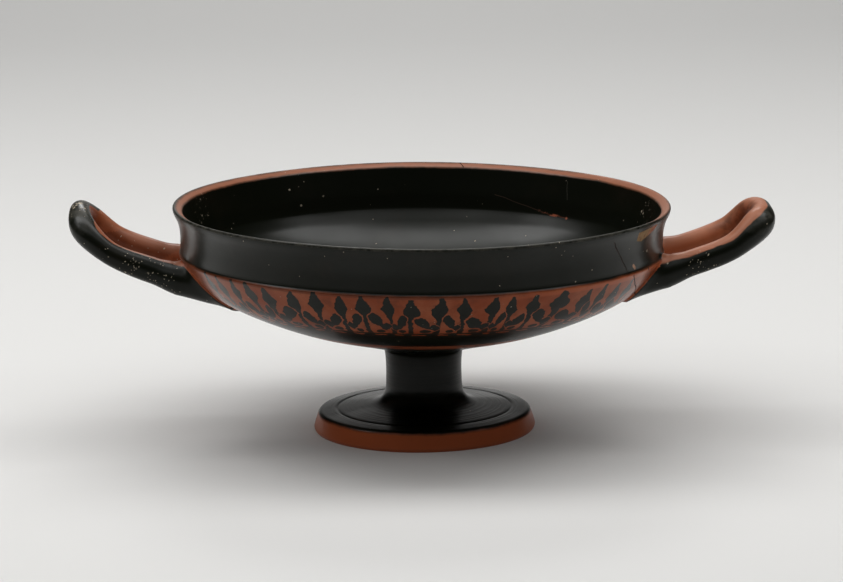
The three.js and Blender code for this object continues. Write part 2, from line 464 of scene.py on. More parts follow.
points = np.empty(len(kylix.data.vertices) * 3)
kylix.data.vertices.foreach_get("co", points)
points = points.reshape(-1, 3) / MM
along, proud = off_profile(points, section)
limb = limb_place(points, proud)
for name, values in (("along", along), ("proud", proud)):
    kylix.data.attributes.new(name, "FLOAT", "POINT").data.foreach_set("value", values)
turns = kylix.data.attributes.new("limb", "FLOAT_VECTOR", "POINT")
turns.data.foreach_set("vector", limb.ravel())
kylix.data.vertices.foreach_set("co", (out_of_level(hand_thrown(points)) * MM).ravel())
kylix.data.update()
kylix.data.polygons.foreach_set("use_smooth", np.ones(len(kylix.data.polygons), bool))
kylix.data.set_sharp_from_angle(angle=math.radians(SHARP_ANGLE_DEG))


# ---- material


def place_along(radius, height):
    """The length along the section at its nearest place to (radius, height)."""
    return float(off_profile(np.array([[radius, 0, height]]), section)[0][0])


class Finish:
    """Short names for the shader nodes of a finish. Numbers and sockets mix freely."""

    def __init__(self, name):
        self.material = bpy.data.materials.new(name)
        self.material.use_nodes = True
        self.tree = self.material.node_tree
        self.shader = self.tree.nodes["Principled BSDF"]

    def node(self, kind, **settings):
        made = self.tree.nodes.new(kind)
        for key, value in settings.items():
            setattr(made, key, value)
        return made

    def feed(self, socket, value):
        if isinstance(value, bpy.types.NodeSocket):
            self.tree.links.new(value, socket)
        else:
            socket.default_value = value

    def surface(self, key, value):
        self.feed(self.shader.inputs[key], value)

    def feed_all(self, sockets, values):
        for socket, value in zip(sockets, values):
            self.feed(socket, value)

    def maths(self, operation, *values):
        made = self.node("ShaderNodeMath", operation=operation)
        self.feed_all(made.inputs, values)
        return made.outputs[0]

    def in_turn(self, operation, first, *rest):
        for value in rest:
            first = self.maths(operation, first, value)
        return first

    def add(self, *values):
        return self.in_turn("ADD", *values)

    def sub(self, a, b):
        return self.maths("SUBTRACT", a, b)

    def mul(self, *values):
        return self.in_turn("MULTIPLY", *values)

    def over(self, a, b):
        return self.maths("DIVIDE", a, b)

    def size(self, a):
        return self.maths("ABSOLUTE", a)

    def most(self, *values):
        return self.in_turn("MAXIMUM", *values)

    def least(self, *values):
        return self.in_turn("MINIMUM", *values)

    def without(self, share, cut):
        """The share that is left where the cut is taken out."""
        return self.mul(share, self.sub(1.0, cut))

    def ramp(self, value, low, high, to_low=0.0, to_high=1.0):
        """Value from low to high becomes to_low to to_high, with a soft start and end."""
        made = self.node("ShaderNodeMapRange", interpolation_type="SMOOTHSTEP")
        self.feed_all(made.inputs, (value, low, high, to_low, to_high))
        return made.outputs[0]

    def between(self, value, low, high, soft):
        """1 from low to high, and 0 beyond them, with soft ends."""
        past_low = self.ramp(value, low - soft, low + soft)
        return self.mul(past_low, self.ramp(value, high + soft, high - soft))

    def inside(self, distance, reach, soft=0.08):
        """1 where the distance is under the reach, with a soft edge."""
        return self.ramp(self.sub(distance, reach), soft, -soft)

    def noise(self, where, scale, detail=2.0, roughness=0.5, kind="3D"):
        """Soft noise of a place, or of one length where the kind is 1D."""
        made = self.node("ShaderNodeTexNoise", noise_dimensions=kind)
        self.feed(made.inputs["W" if kind == "1D" else "Vector"], where)
        made.inputs["Scale"].default_value = scale
        made.inputs["Detail"].default_value = detail
        made.inputs["Roughness"].default_value = roughness
        return made.outputs["Fac"]

    def chances(self, *numbers):
        """Three random shares that stay the same for the same whole numbers."""
        made = self.node("ShaderNodeTexWhiteNoise", noise_dimensions="3D")
        self.feed(made.inputs["Vector"], self.vector(*numbers))
        return self.shades(made.outputs["Color"])

    def shades(self, colour):
        made = self.node("ShaderNodeSeparateColor")
        self.feed(made.inputs[0], colour)
        return made.outputs

    def mix(self, share, a, b):
        """Colour a where share is 0 and colour b where it is 1."""
        made = self.node("ShaderNodeMix", data_type="RGBA")
        self.feed(made.inputs["Factor"], share)
        for key, value in (("A", a), ("B", b)):
            socket = next(s for s in made.inputs if s.name == key and s.type == "RGBA")
            self.feed(socket, value if isinstance(value, bpy.types.NodeSocket) else (*value, 1))
        return next(s for s in made.outputs if s.type == "RGBA")

    def blend(self, share, a, b):
        """Number a where share is 0 and number b where it is 1."""
        made = self.node("ShaderNodeMix", data_type="FLOAT")
        self.feed(made.inputs["Factor"], share)
        self.feed(made.inputs["A"], a)
        self.feed(made.inputs["B"], b)
        return made.outputs["Result"]

    def curve(self, value, points):
        """Value looked up on straight lines through (value, result) points, all from 0 to 1."""
        made = self.node("ShaderNodeFloatCurve")
        line = made.mapping.curves[0]
        while len(line.points) < len(points):
            line.points.new(0.5, 0.5)
        for point, (x, y) in zip(line.points, points):
            point.location = (x, y)
            point.handle_type = "VECTOR"
        made.mapping.update()
        self.feed(made.inputs["Value"], value)
        return made.outputs[0]

    def attribute(self, name, output):
        return self.node("ShaderNodeAttribute", attribute_name=name).outputs[output]

    def vector(self, *parts):
        made = self.node("ShaderNodeCombineXYZ")
        self.feed_all(made.inputs, parts)
        return made.outputs[0]

    def parts(self, vector):
        made = self.node("ShaderNodeSeparateXYZ")
        self.feed(made.inputs[0], vector)
        return made.outputs

    def vector_maths(self, operation, *values):
        made = self.node("ShaderNodeVectorMath", operation=operation)
        self.feed_all(made.inputs, values)
        measures = operation in ("DISTANCE", "DOT_PRODUCT", "LENGTH")
        return made.outputs["Value" if measures else "Vector"]

    def off_stroke(self, place, start, end):
        """Distance from a straight stroke on the unrolled surface: the length from the nearest
        place on it, which a clamped dot product finds."""
        way = np.subtract(end, start)
        from_start = self.vector_maths("SUBTRACT", place, (*start, 0))
        per_length = (*(way / (way @ way)), 0)
        share = self.vector_maths("DOT_PRODUCT", from_start, per_length)
        limited = self.node("ShaderNodeClamp")
        self.feed(limited.inputs[0], share)
        nearest = self.vector_maths("MULTIPLY", self.vector(*[limited.outputs[0]] * 3), (*way, 0))
        from_nearest = self.vector_maths("SUBTRACT", from_start, nearest)
        return self.vector_maths("LENGTH", from_nearest)

    def off_strokes(self, place, *corners):
        """Distance from the nearest of the straight strokes that join the corners in turn."""
        strokes = zip(corners, corners[1:])
        return self.least(*(self.off_stroke(place, start, end) for start, end in strokes))

    def off_patch(self, place, corners):
        """How far outside a convex patch, corners anticlockwise: the most of all sides'."""
        distances = []
        for start, end in zip(corners, corners[1:] + corners[:1]):
            way = np.subtract(end, start)
            away = np.array([way[1], -way[0]]) / np.hypot(*way)
            reach = self.vector_maths("DOT_PRODUCT", place, (*away, 0))
            distances.append(self.sub(reach, float(away @ np.array(start))))
        return self.most(*distances)


# Colours of the slip, the clay and what is on them.
SLIP = (0.0054, 0.0068, 0.0030)
SLIP_THIN = (0.016, 0.012, 0.007)
SLIP_BROWN = (0.042, 0.020, 0.011)
SLIP_RUBBED_AND_LIT = (0.09, 0.085, 0.07)
CLAY = (0.25, 0.054, 0.015)
CLAY_PALE = (0.33, 0.102, 0.045)
CLAY_DEEP = (0.15, 0.040, 0.016)
CLAY_WORN_AND_LIT = (0.37, 0.185, 0.118)
CLAY_RIM_WORN_AND_LIT = (0.30, 0.135, 0.08)
# Clay painted lighter to stand in for light: on the shoulder's upward face and round the foot.
CLAY_PAINTED_LIT = (0.46, 0.125, 0.045)
LIME = (0.46, 0.40, 0.31)
DIRT = (0.035, 0.018, 0.010)
RECESS_SHADE_AND_DIRT = (0.075, 0.026, 0.015)
FILLING = (0.33, 0.22, 0.12)
FILLING_PINK = (0.42, 0.18, 0.12)
CRACK = (0.012, 0.006, 0.004)
CHIP = (0.45, 0.28, 0.20)
RED_MARK = (0.16, 0.035, 0.02)
SCRATCH = (0.2, 0.12, 0.09)
SCRATCH_END = (0.42, 0.13, 0.07)
HAIRLINE = (0.12, 0.11, 0.09)

# Where each bud of the band stands, in degrees round from the middle of a side, and how far apart
# two buds stand as they are drawn.
BUD_ANGLES = (-60, -55, -49.5, -43.8, -39, -31.2, -25.5, -19.2, -14, -7.8, -3)
BUD_ANGLES += (4.2, 9.5, 16.8, 20.8, 26.5, 33.8, 42.2, 46.8, 52.5, 58.5)
BUD_PITCH = 10.2

# A bud's half width by its way down, and a leaf's, each as shares of the whole.
BUD_OUTLINE = ((0, 0), (0.012, 0.16), (0.05, 0.22), (0.1, 0.31), (0.15, 0.46), (0.2, 0.62))
BUD_OUTLINE += ((0.245, 0.68), (0.29, 0.56), (0.35, 0.34), (0.42, 0.24), (0.6, 0.2))
BUD_OUTLINE += ((0.82, 0.27), (1, 0.6))
LEAF_OUTLINE = ((0, 0), (0.04, 0.3), (0.14, 0.72), (0.3, 1), (0.48, 0.8), (0.72, 0.38), (1, 0.16))

# Where specks crowd together: the place, how far they reach in metres, and how thick they lie.
LEFT_END = (-0.1415, -0.004, 0.0965)
SPECK_CLUSTERS = (
    ((-0.112, -0.0235, 0.0725), 0.017, 15),
    (LEFT_END, 0.012, 9),
    ((0.113, -0.0235, 0.071), 0.009, 14),
    ((-0.093, 0.028, 0.089), 0.01, 10),
    ((0.0937, 0.024, 0.084), 0.011, 10),
)

SHOULDER_ALONG = place_along(*SHOULDER)
BAND_END = SHOULDER_ALONG - 29.5
SECTION_LENGTH = float(lengths_along(section)[-1])
# Millimetres round the lip for each degree.
ROUND = 1.74


def on_lip(angle, height, radius=LIP_RADIUS):
    """A place on the lip's outside, unrolled. The radius grows where the lip flares."""
    return angle * ROUND, place_along(radius, height)


def under_lip(angle, down):
    """A place on the bowl, by its way down from the shoulder."""
    return angle * ROUND, SHOULDER_ALONG - down


def on_wall(angle, height):
    """A place on the inside of the lip."""
    return angle * ROUND, place_along(CREASE_RADIUS + 1.2, height)


class CupSkin:
    """What every part of the finish reads: places on the cup, shares of its zones, and slow
    wavers. Unrolled is the outside laid flat, in millimetres round the lip and along the section.
    """

    def __init__(self, f):
        self.where = f.node("ShaderNodeTexCoord").outputs["Object"]
        self.x, self.y, self.z = f.parts(self.where)
        self.along = f.attribute("along", "Fac")
        self.loop, self.inward, self.upward = f.parts(f.attribute("limb", "Vector"))
        self.left = f.ramp(self.x, 0.001, -0.001)
        self.angle = f.mul(f.maths("ARCTAN2", self.x, f.mul(self.y, -1)), 180 / math.pi)
        self.side_angle = f.mul(f.maths("ARCTAN2", self.x, f.size(self.y)), 180 / math.pi)
        self.mottle = f.noise(self.where, 55, 5, 0.6)
        self.waver = f.sub(f.noise(self.where, 90, 3), 0.5)
        self.fine_waver = f.sub(f.noise(self.where, 420, 2), 0.5)
        proud = f.add(f.attribute("proud", "Fac"), f.mul(self.waver, 0.8))
        self.on_handle = f.ramp(proud, 0.6, 0.9)
        self.off_handle = f.sub(1.0, self.on_handle)
        round_lip = f.add(f.mul(self.angle, ROUND), f.mul(self.fine_waver, 1.2))
        self.unrolled = f.vector(round_lip, f.add(self.along, f.mul(self.waver, 1.2)), 0.0)


def painted_zones(f, along):
    """1 where the slip lies and 0 on bare clay, from turned borders at their lengths along the
    section. The band of buds is left bare here."""
    borders = (
        place_along(37.2, 1),
        place_along(*FOOT_EDGE),
        place_along(52, 44.2),
        place_along(62, 47.7),
        BAND_END,
        SHOULDER_ALONG + 0.3,
        place_along(RIM_RADIUS - 1.3, RIM_HEIGHT),
        place_along(98.4, RIM_HEIGHT - 2.2),
    )
    made = f.node("ShaderNodeValToRGB")
    stops = made.color_ramp.elements
    level, edge = 1.0, 0.12
    keys = []
    for border in borders:
        keys += [(border - edge, level), (border + edge, 1 - level)]
        level = 1 - level
    while len(stops) < len(keys):
        stops.new(0.5)
    for stop, (at, shade) in zip(stops, keys):
        stop.position = at / SECTION_LENGTH
        stop.color = (shade, shade, shade, 1)
    f.feed(made.inputs[0], f.over(along, SECTION_LENGTH))
    return f.add(made.outputs["Color"], 0.0)


def leaf_of_band(f, u, v, top, length, start, lean, half):
    """A comma-shaped leaf: its middle line leaves the start and leans over by the square of the
    way down, and its half width follows a drop. It returns the leaf and the thin bare line that is
    left round it."""
    way = f.over(f.sub(v, top), length)
    middle = f.sub(start, f.mul(f.maths("POWER", f.most(way, 0.0), 2), lean))
    off = f.sub(f.size(f.sub(u, middle)), f.mul(f.curve(way, LEAF_OUTLINE), half))
    there = f.between(way, 0.0, 1.0, 0.03)
    leaf = f.mul(f.inside(off, 0.0), there)
    bare = f.without(f.mul(f.inside(off, 0.62), f.between(way, -0.07, 0.94, 0.03)), leaf)
    return leaf, bare


def band_of_buds(f, skin):
    """The slip of the painted band: u runs round the bowl from bud to bud and v down from the
    shoulder, both in millimetres and both wavering as a brush does. Each bud has a neck, a body
    and a stalk; leaves, knobs with a bare ring and a ground line with bare dashes fill the room
    between stalks."""
    where, along, angle = skin.where, skin.along, skin.side_angle
    back = f.maths("SIGN", skin.y)
    count = len(BUD_ANGLES)
    first = 2 * BUD_ANGLES[0] - BUD_ANGLES[1]
    last = 2 * BUD_ANGLES[-1] - BUD_ANGLES[-2]
    stations = [
        ((station + 90) / 180, number / (count + 1))
        for number, station in enumerate((first, *BUD_ANGLES, last))
    ]
    order = f.mul(f.curve(f.over(f.add(angle, 90), 180), stations), count + 1)
    shake = f.sub(f.noise(where, 330, 2, 0.6), 0.5)
    elsewhere = f.vector_maths("ADD", where, (7, 3, 5))
    other_shake = f.sub(f.noise(elsewhere, 300, 2, 0.6), 0.5)
    order = f.add(order, f.mul(shake, 0.24))
    v = f.add(f.sub(SHOULDER_ALONG, along), f.mul(other_shake, 2.6))

    bud_number = f.maths("ROUND", order)
    r1, r2, r3 = f.chances(bud_number, back, 0.0)
    u = f.mul(f.sub(order, bud_number), BUD_PITCH)
    u = f.sub(u, f.mul(f.sub(r3, 0.5), f.sub(v, 8), 0.17))
    v_bud = f.sub(v, f.add(f.mul(r1, 1.8), f.ramp(angle, 15, 40, -0.9, 0.9)))
    half = f.curve(f.over(v_bud, 30), BUD_OUTLINE)
    off_bud = f.sub(f.size(u), f.mul(half, f.add(4.2, f.mul(r2, 1.5))))
    bud = f.mul(f.inside(off_bud, 0.0), f.ramp(v_bud, 0.0, 0.3))

    gap_number = f.maths("FLOOR", order)
    q1, q2, q3 = f.chances(f.add(gap_number, 0.37), back, 1.0)
    hand = f.maths("SIGN", f.sub(q1, 0.5))
    u_gap = f.mul(f.sub(f.sub(order, gap_number), 0.5), BUD_PITCH, hand)
    lift = f.mul(f.sub(q2, 0.5), 4.0)
    leaf, leaf_line = leaf_of_band(
        f, u_gap, f.add(v, lift), top=10.6, length=12.6, start=1.6, lean=4.6, half=2.7
    )
    v_twig = f.sub(v, f.mul(q3, 1.5))
    twig, twig_line = leaf_of_band(
        f, f.mul(u_gap, -1), v_twig, top=14.6, length=9.6, start=3.3, lean=3.0, half=2.1
    )
    from_knob = f.vector(f.mul(u_gap, 0.85), f.sub(v, 22.4), 0.0)
    knob_off = f.vector_maths("LENGTH", from_knob)
    knob = f.inside(knob_off, 1.75)
    ring = f.without(f.inside(knob_off, 2.6), knob)
    ground = f.ramp(v, 24.5, 24.9)
    dash_order = f.maths("FRACT", f.add(order, f.mul(q3, 0.2), 0.1))
    dash_u = f.mul(f.sub(dash_order, 0.5), BUD_PITCH)
    dash_v = f.sub(f.sub(v, 27.0), f.mul(dash_u, 0.1))
    across = f.maths("POWER", f.over(dash_u, 3.0), 2)
    down = f.maths("POWER", f.over(dash_v, 0.75), 2)
    dash = f.ramp(f.sub(1.0, f.add(across, down)), -0.1, 0.1)

    rows = f.between(f.size(angle), -1.0, 62.0, 0.4)
    drawn = f.without(bud, f.most(leaf_line, f.mul(twig_line, 0.8)))
    drawn = f.most(drawn, leaf, twig)
    drawn = f.most(f.without(drawn, ring), knob)
    drawn = f.mul(f.without(drawn, ground), rows)
    drawn = f.most(drawn, f.without(ground, dash))
    return f.mul(drawn, f.between(along, BAND_END, SHOULDER_ALONG + 0.8, 0.1))


def slip_on_handles(f, skin):
    """The slip on the handles: the faces that look into the loop are bare, and the border climbs
    over the top of the front limb. Loop runs from 0 at the front root to 1 at the back one."""
    to_end = f.mul(f.size(f.sub(skin.loop, 0.5)), 2)
    front = f.ramp(skin.loop, 0.48, 0.4)
    left_along = f.blend(front, -0.26, f.ramp(to_end, 0.5, 0.68, -0.25, -0.48))
    left_edge = f.blend(f.ramp(to_end, 0.12, 0.25), 0.88, left_along)
    right_edge = f.blend(f.ramp(to_end, 0.1, 0.32), -0.42, f.blend(front, -0.22, -0.74))
    above = f.blend(skin.left, right_edge, left_edge)
    edge = f.blend(f.ramp(skin.upward, -0.3, 0.3), 0.45, above)
    return f.ramp(f.sub(f.add(skin.inward, f.mul(skin.waver, 0.3)), edge), 0.05, -0.05)


def slip_share(f, skin):
    """1 where the slip lies and 0 on bare clay. The turned borders waver; on the rim the slip
    stops short near the right handle and reaches further in on the near side."""
    rim_from, rim_to = place_along(102.3, 93.5), place_along(100.5, RIM_HEIGHT - 0.5)
    on_rim = f.between(skin.along, rim_from, rim_to, 0.5)
    short = f.mul(f.ramp(skin.x, 0.05, 0.098), f.ramp(skin.y, -0.06, -0.03), on_rim, 0.9)
    further = f.mul(f.ramp(skin.y, -0.04, -0.08), on_rim, 0.5)
    run = f.add(skin.along, f.mul(skin.waver, 1.3), f.mul(skin.fine_waver, 0.5))
    zones = painted_zones(f, f.sub(f.add(run, short), further))
    slip = f.most(zones, band_of_buds(f, skin))
    return f.blend(skin.on_handle, slip, slip_on_handles(f, skin))


def bare_clay(f, skin):
    """The clay's colour: mottled; darker under the lip's shoulder at the front, a painted shade;
    lighter on the shoulder's upward face at the right and round the foot, painted light; paler on
    the rim, worn and with a painted highlight; paler on the handles where hands have worn them,
    and painted lighter on their upward faces; and darker inside the end of the right handle,
    painted shade with some dirt."""
    where, along = skin.where, skin.along
    clay = f.mix(f.ramp(skin.mottle, 0.35, 0.7), CLAY, CLAY_PALE)
    blotches = f.ramp(f.noise(where, 160, 4, 0.6), 0.5, 0.75)
    clay = f.mix(f.mul(blotches, 0.6), clay, CLAY_DEEP)
    # Painted shade: the clay just under the lip's shoulder is darker at the front, where the lip
    # shades it.
    shade_under_lip = f.between(along, SHOULDER_ALONG - 1.0, SHOULDER_ALONG + 0.3, 0.35)
    clay = f.mix(f.mul(shade_under_lip, f.ramp(skin.angle, 35, 5), 0.7), clay, CLAY_DEEP)
    # Painted highlight: the shoulder's upward face is lighter at the right, where light falls on
    # it.
    lit_ledge = f.between(along, SHOULDER_ALONG - 2.6, SHOULDER_ALONG + 0.4, 0.5)
    clay = f.mix(f.mul(lit_ledge, f.ramp(skin.angle, 10, 40), 0.6), clay, CLAY_PAINTED_LIT)
    # The rim's clay is paler, from wear and from a painted highlight of the light from above.
    rim = f.between(along, place_along(102.3, 94.6), place_along(98.3, 92.8), 0.5)
    clay = f.mix(f.mul(rim, 0.8), clay, CLAY_RIM_WORN_AND_LIT)
    # The handles' clay is paler where worn, and painted lighter on the faces that look up, a
    # painted highlight where light falls.
    worn_and_lit_right = f.ramp(skin.upward, 0.05, 0.85, 0.2, 0.65)
    worn_and_lit_left = f.ramp(skin.upward, 0.05, 0.85, 0.05, 0.45)
    worn = f.mul(skin.on_handle, f.blend(skin.left, worn_and_lit_right, worn_and_lit_left))
    clay = f.mix(worn, clay, CLAY_WORN_AND_LIT)
    # Painted light: the clay round the foot is lighter, standing in for the light the floor throws
    # back onto it.
    clay = f.mix(f.ramp(skin.z, 0.011, 0.009), clay, CLAY_PAINTED_LIT)
    # Inside the end of the right handle the clay is darker: painted shade in the recess, with some
    # dirt.
    inner_end = f.mul(skin.on_handle, f.ramp(skin.inward, 0.3, 0.8), f.ramp(skin.x, 0.118, 0.129))
    shade_and_stain = f.ramp(f.noise(where, 210, 3), 0.35, 0.6, 0.05, 0.5)
    return f.mix(f.mul(inner_end, shade_and_stain), clay, RECESS_SHADE_AND_DIRT)


def slip_coat(f, skin):
    """The slip's colour, thin in places and brown beside the left handle; the shares of the
    brush's streaks on foot and stem, painted lighter as the lamps' highlights on them, and of the
    rim's crest, worn by rubbing and painted lighter as a highlight; and the height of the brush
    marks."""
    where, along = skin.where, skin.along
    thin = f.ramp(f.noise(where, 38, 4, 0.6), 0.52, 0.8)
    colour = f.mix(f.mul(thin, 0.55), SLIP, SLIP_THIN)
    on_brown = f.between(along, place_along(LIP_RADIUS, 79), place_along(102, 92), 2)
    brown = f.mul(f.between(skin.angle, -78, -67, 4), on_brown)
    colour = f.mix(f.mul(brown, 0.8), colour, SLIP_BROWN)
    brush = f.noise(f.add(along, f.mul(skin.waver, 2.5)), 0.62, kind="1D")
    brushed = f.between(along, place_along(43, 8.6), place_along(18, STEM_TOP + 2), 1.5)
    brushed = f.mul(brushed, f.ramp(f.noise(where, 45, 2), 0.35, 0.65, 0.3, 1.0))
    # Brush streaks in thinner slip, painted lighter to stand in for the lamps' highlights on them.
    streak_and_highlight = f.mul(brushed, f.ramp(brush, 0.48, 0.62))
    colour = f.mix(f.mul(streak_and_highlight, 0.6), colour, SLIP_THIN)
    # The rim's crest: the slip is worn there by rubbing, and painted lighter as a highlight along
    # the rounded top.
    crest_to = place_along(RIM_RADIUS - 1.3, RIM_HEIGHT)
    crest = f.between(along, place_along(102.4, 94), crest_to, 0.3)
    rubbed_and_lit = f.mul(crest, f.ramp(f.noise(where, 240, 3, 0.7), 0.3, 0.65))
    colour = f.mix(f.mul(rubbed_and_lit, 0.6), colour, SLIP_RUBBED_AND_LIT)
    return colour, streak_and_highlight, rubbed_and_lit, f.mul(brush, brushed)


def cracks(f, skin):
    """The shares of the crack lines and of the clay that shows beside them: from the lip down the
    bowl at the right, and across the far rim."""
    along, unrolled = skin.along, skin.unrolled
    off = f.least(
        f.off_strokes(unrolled, on_lip(48.7, 90.8, 101.2), on_lip(52.2, 84), on_lip(55.4, 76.2)),
        f.off_strokes(unrolled, under_lip(57.2, 0.5), under_lip(62, 7), under_lip(71.5, 17)),
        f.off_strokes(unrolled, on_lip(170.2, RIM_HEIGHT, 101.3), on_lip(169, 93.6, 98.6)),
    )
    strength = f.ramp(along, SHOULDER_ALONG, SHOULDER_ALONG + 3, 1.0, 0.9)
    line = f.mul(f.inside(off, 0.2, 0.1), skin.off_handle, strength)
    broken = f.ramp(f.noise(skin.where, 700, 2), 0.45, 0.6)
    strength = f.ramp(along, SHOULDER_ALONG, SHOULDER_ALONG + 3, 0.6, 0.12)
    return line, f.mul(f.inside(off, 0.55, 0.25), broken, strength)


def filled_chip(f, skin):
    """The share and the colour of the filled chip in the lip: buff, pink to the right, soiled."""
    corners = [
        on_lip(58, 92.4, 101.8),
        on_lip(58.4, 88.6, 100.7),
        on_lip(60.8, 87.9, 100.4),
        on_lip(67, 91.2, 101.3),
        on_lip(67.6, 93.4, 102.3),
    ]
    near = f.inside(f.size(f.sub(skin.angle, 64)), 8)
    share = f.mul(f.inside(f.off_patch(skin.unrolled, corners), 0.0, 0.2), near)
    colour = f.mix(f.ramp(skin.angle, 62.5, 65.5), FILLING, FILLING_PINK)
    soiled = f.ramp(f.noise(skin.where, 500, 3), 0.4, 0.7, 0.0, 0.5)
    return share, f.mix(soiled, colour, CLAY_DEEP)


def small_marks(f, skin, colour):
    """The colour with three stains and a red mark outside, and a scratch and a hairline on the far
    wall inside."""
    unrolled = skin.unrolled
    stains_off = f.least(
        f.off_stroke(unrolled, under_lip(65.2, -0.3), under_lip(65.2, 0.5)),
        f.off_stroke(unrolled, under_lip(75, 2.2), under_lip(75, 2.9)),
        f.off_stroke(unrolled, under_lip(71, 18), under_lip(72, 18.6)),
    )
    colour = f.mix(f.mul(f.inside(stains_off, 0.55, 0.2), skin.off_handle), colour, DIRT)
    red_off = f.off_stroke(unrolled, on_lip(-39.8, 94), on_lip(-37.9, 93.6))
    colour = f.mix(f.mul(f.inside(red_off, 0.5, 0.2), 0.8), colour, RED_MARK)
    corners = on_wall(160.2, 82.6), on_wall(150, 78.2), on_wall(144.2, 76.1), on_wall(138.5, 75.1)
    scratch_off = f.off_strokes(unrolled, *corners)
    to_end = f.ramp(skin.angle, 150, 143)
    broken = f.ramp(f.noise(skin.where, 420, 2), 0.48, 0.56)
    scratch = f.mul(f.inside(scratch_off, 0.5, 0.2), broken, to_end)
    scratch = f.most(f.mul(scratch, 0.9), f.mul(f.inside(scratch_off, 0.16, 0.1), 0.25))
    colour = f.mix(scratch, colour, f.mix(to_end, SCRATCH, SCRATCH_END))
    hairline_off = f.off_stroke(unrolled, on_wall(139.5, 91.6), on_wall(138.8, 83.4))
    return f.mix(f.mul(f.inside(hairline_off, 0.14, 0.1), 0.5), colour, HAIRLINE)


def specks(f, skin):
    """Buff specks of lime and small losses: a few everywhere, more on the left handle, most in
    some clusters, and one larger loss at the left handle's end."""
    where, on_handle, left = skin.where, skin.on_handle, skin.left
    lumps = f.ramp(f.noise(where, 26, 2), 0.56, 0.72)
    crowd = f.add(f.mul(lumps, f.add(1.0, f.mul(on_handle, left, 4.0))), 0.15)
    crowd = f.add(crowd, f.mul(on_handle, f.add(left, 0.1), 1.6))
    for place, reach, share in SPECK_CLUSTERS:
        off = f.vector_maths("DISTANCE", where, place)
        crowd = f.add(crowd, f.mul(f.ramp(off, reach, reach * 0.3), share))
    shift = f.mul(f.sub(f.noise(where, 1100, 2), 0.5), 0.0011)
    ragged = f.vector_maths("ADD", where, f.vector(shift, shift, shift))
    flecks = 0.0
    for cells, reach, few in ((420, 0.27, 0.012), (900, 0.3, 0.03)):
        spot = f.node("ShaderNodeTexVoronoi", feature="F1")
        f.feed(spot.inputs["Vector"], ragged)
        spot.inputs["Scale"].default_value = cells
        chance, strength, _ = f.shades(spot.outputs["Color"])
        fleck = f.maths("LESS_THAN", chance, f.mul(crowd, few))
        fleck = f.mul(fleck, f.ramp(spot.outputs["Distance"], reach, reach * 0.6))
        flecks = f.most(flecks, f.mul(fleck, f.ramp(strength, 0.0, 1.0, 0.35, 1.0)))
    end_loss = f.inside(f.vector_maths("DISTANCE", where, LEFT_END), 0.0022, 0.0006)
    end_loss = f.mul(end_loss, f.ramp(f.noise(where, 600, 2), 0.42, 0.55))
    return f.most(flecks, f.mul(end_loss, 0.8))


def gloss_left(f, skin, slip, dulled):
    """The share of burnish: whole on the slip and less on clay, uneven, and lower where the cup is
    dulled, beside the handles and where they are held."""
    gloss = f.ramp(f.noise(skin.where, 31, 4, 0.65), 0.25, 0.7, 1.0, 0.75)
    gloss = f.mul(gloss, f.blend(slip, f.ramp(skin.on_handle, 0, 1, 0.65, 0.2), 1))
    beside = f.mul(f.ramp(f.size(skin.side_angle), 64, 76), skin.off_handle, 0.5)
    held = f.mul(skin.on_handle, f.ramp(f.size(skin.x), 0.137, 0.127), 0.5)
    return f.without(gloss, f.most(dulled, beside, held))


def slipped_clay():
    """The cup's finish: colour, roughness, gloss and relief, from the slip and its wear."""
    f = Finish("slipped_clay")
    skin = CupSkin(f)
    slip = slip_share(f, skin)
    slip_colour, streak_and_highlight, rubbed_and_lit, brush_marks = slip_coat(f, skin)
    crack, crack_side = cracks(f, skin)
    filling, filling_colour = filled_chip(f, skin)
    chip_off = f.off_stroke(skin.unrolled, on_lip(57.9, 78.9), on_lip(58.5, 77.9))
    chip = f.inside(chip_off, 0.75, 0.15)
    flecks = specks(f, skin)

    colour = f.mix(slip, bare_clay(f, skin), slip_colour)
    colour = f.mix(crack_side, colour, CLAY_DEEP)
    colour = f.mix(crack, colour, CRACK)
    colour = f.mix(filling, colour, filling_colour)
    colour = f.mix(chip, colour, CHIP)
    colour = f.mix(flecks, small_marks(f, skin, colour), LIME)
    f.surface("Base Color", colour)

    dull = f.most(flecks, filling, crack, chip)
    uneven = f.mul(f.sub(skin.mottle, 0.5), 0.14)
    rough = f.add(f.blend(slip, 0.36, 0.4), uneven, f.mul(rubbed_and_lit, 0.2))
    f.surface("Roughness", f.blend(dull, rough, 0.75))
    f.surface("IOR", 1.5)
    f.surface("Specular IOR Level", 0.12)
    dulled = f.most(dull, f.mul(rubbed_and_lit, 0.7), f.mul(streak_and_highlight, 0.35))
    f.surface("Coat Weight", gloss_left(f, skin, slip, dulled))
    f.surface("Coat Roughness", 0.24)
    f.surface("Coat IOR", 1.31)

    # Relief in millimetres.
    wheel = f.noise(f.add(skin.along, f.mul(skin.waver, 0.6)), 0.55, 3, kind="1D")
    height = f.add(
        f.mul(brush_marks, 0.3),
        f.mul(wheel, 0.012),
        f.mul(f.noise(skin.where, 60, 3), 0.07),
        f.mul(f.noise(skin.where, 1400, 3, 0.6), 0.007),
        f.mul(slip, 0.02),
        f.mul(flecks, 0.06),
        f.mul(crack, -0.15),
        f.mul(filling, -0.08),
        f.mul(chip, -0.1),
    )
    bump = f.node("ShaderNodeBump")
    bump.inputs["Distance"].default_value = MM
    f.feed(bump.inputs["Height"], height)
    f.surface("Normal", bump.outputs[0])
    return f.material


kylix.data.materials.clear()
kylix.data.materials.append(slipped_clay())
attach(kylix, "root")
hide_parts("kylix")


# ---- stage, light and camera


# The sheet of paper under and behind the cup, in metres.
SHEET_NEAR = -3.0
WIDE_TO = 0.9
NARROW_FROM = 1.0
BEND_FROM = 1.3
SHEET_TOP = 4.0
WIDE_REACH = 5.0
NARROW_REACH = 0.8

PAPER = (0.6, 0.595, 0.583)
# The paper's colour at its near end is a painted shade, and its glow is painted light.
PAPER_NEAR_SHADE = (0.37, 0.367, 0.36)
PAPER_GLOW = 0.042


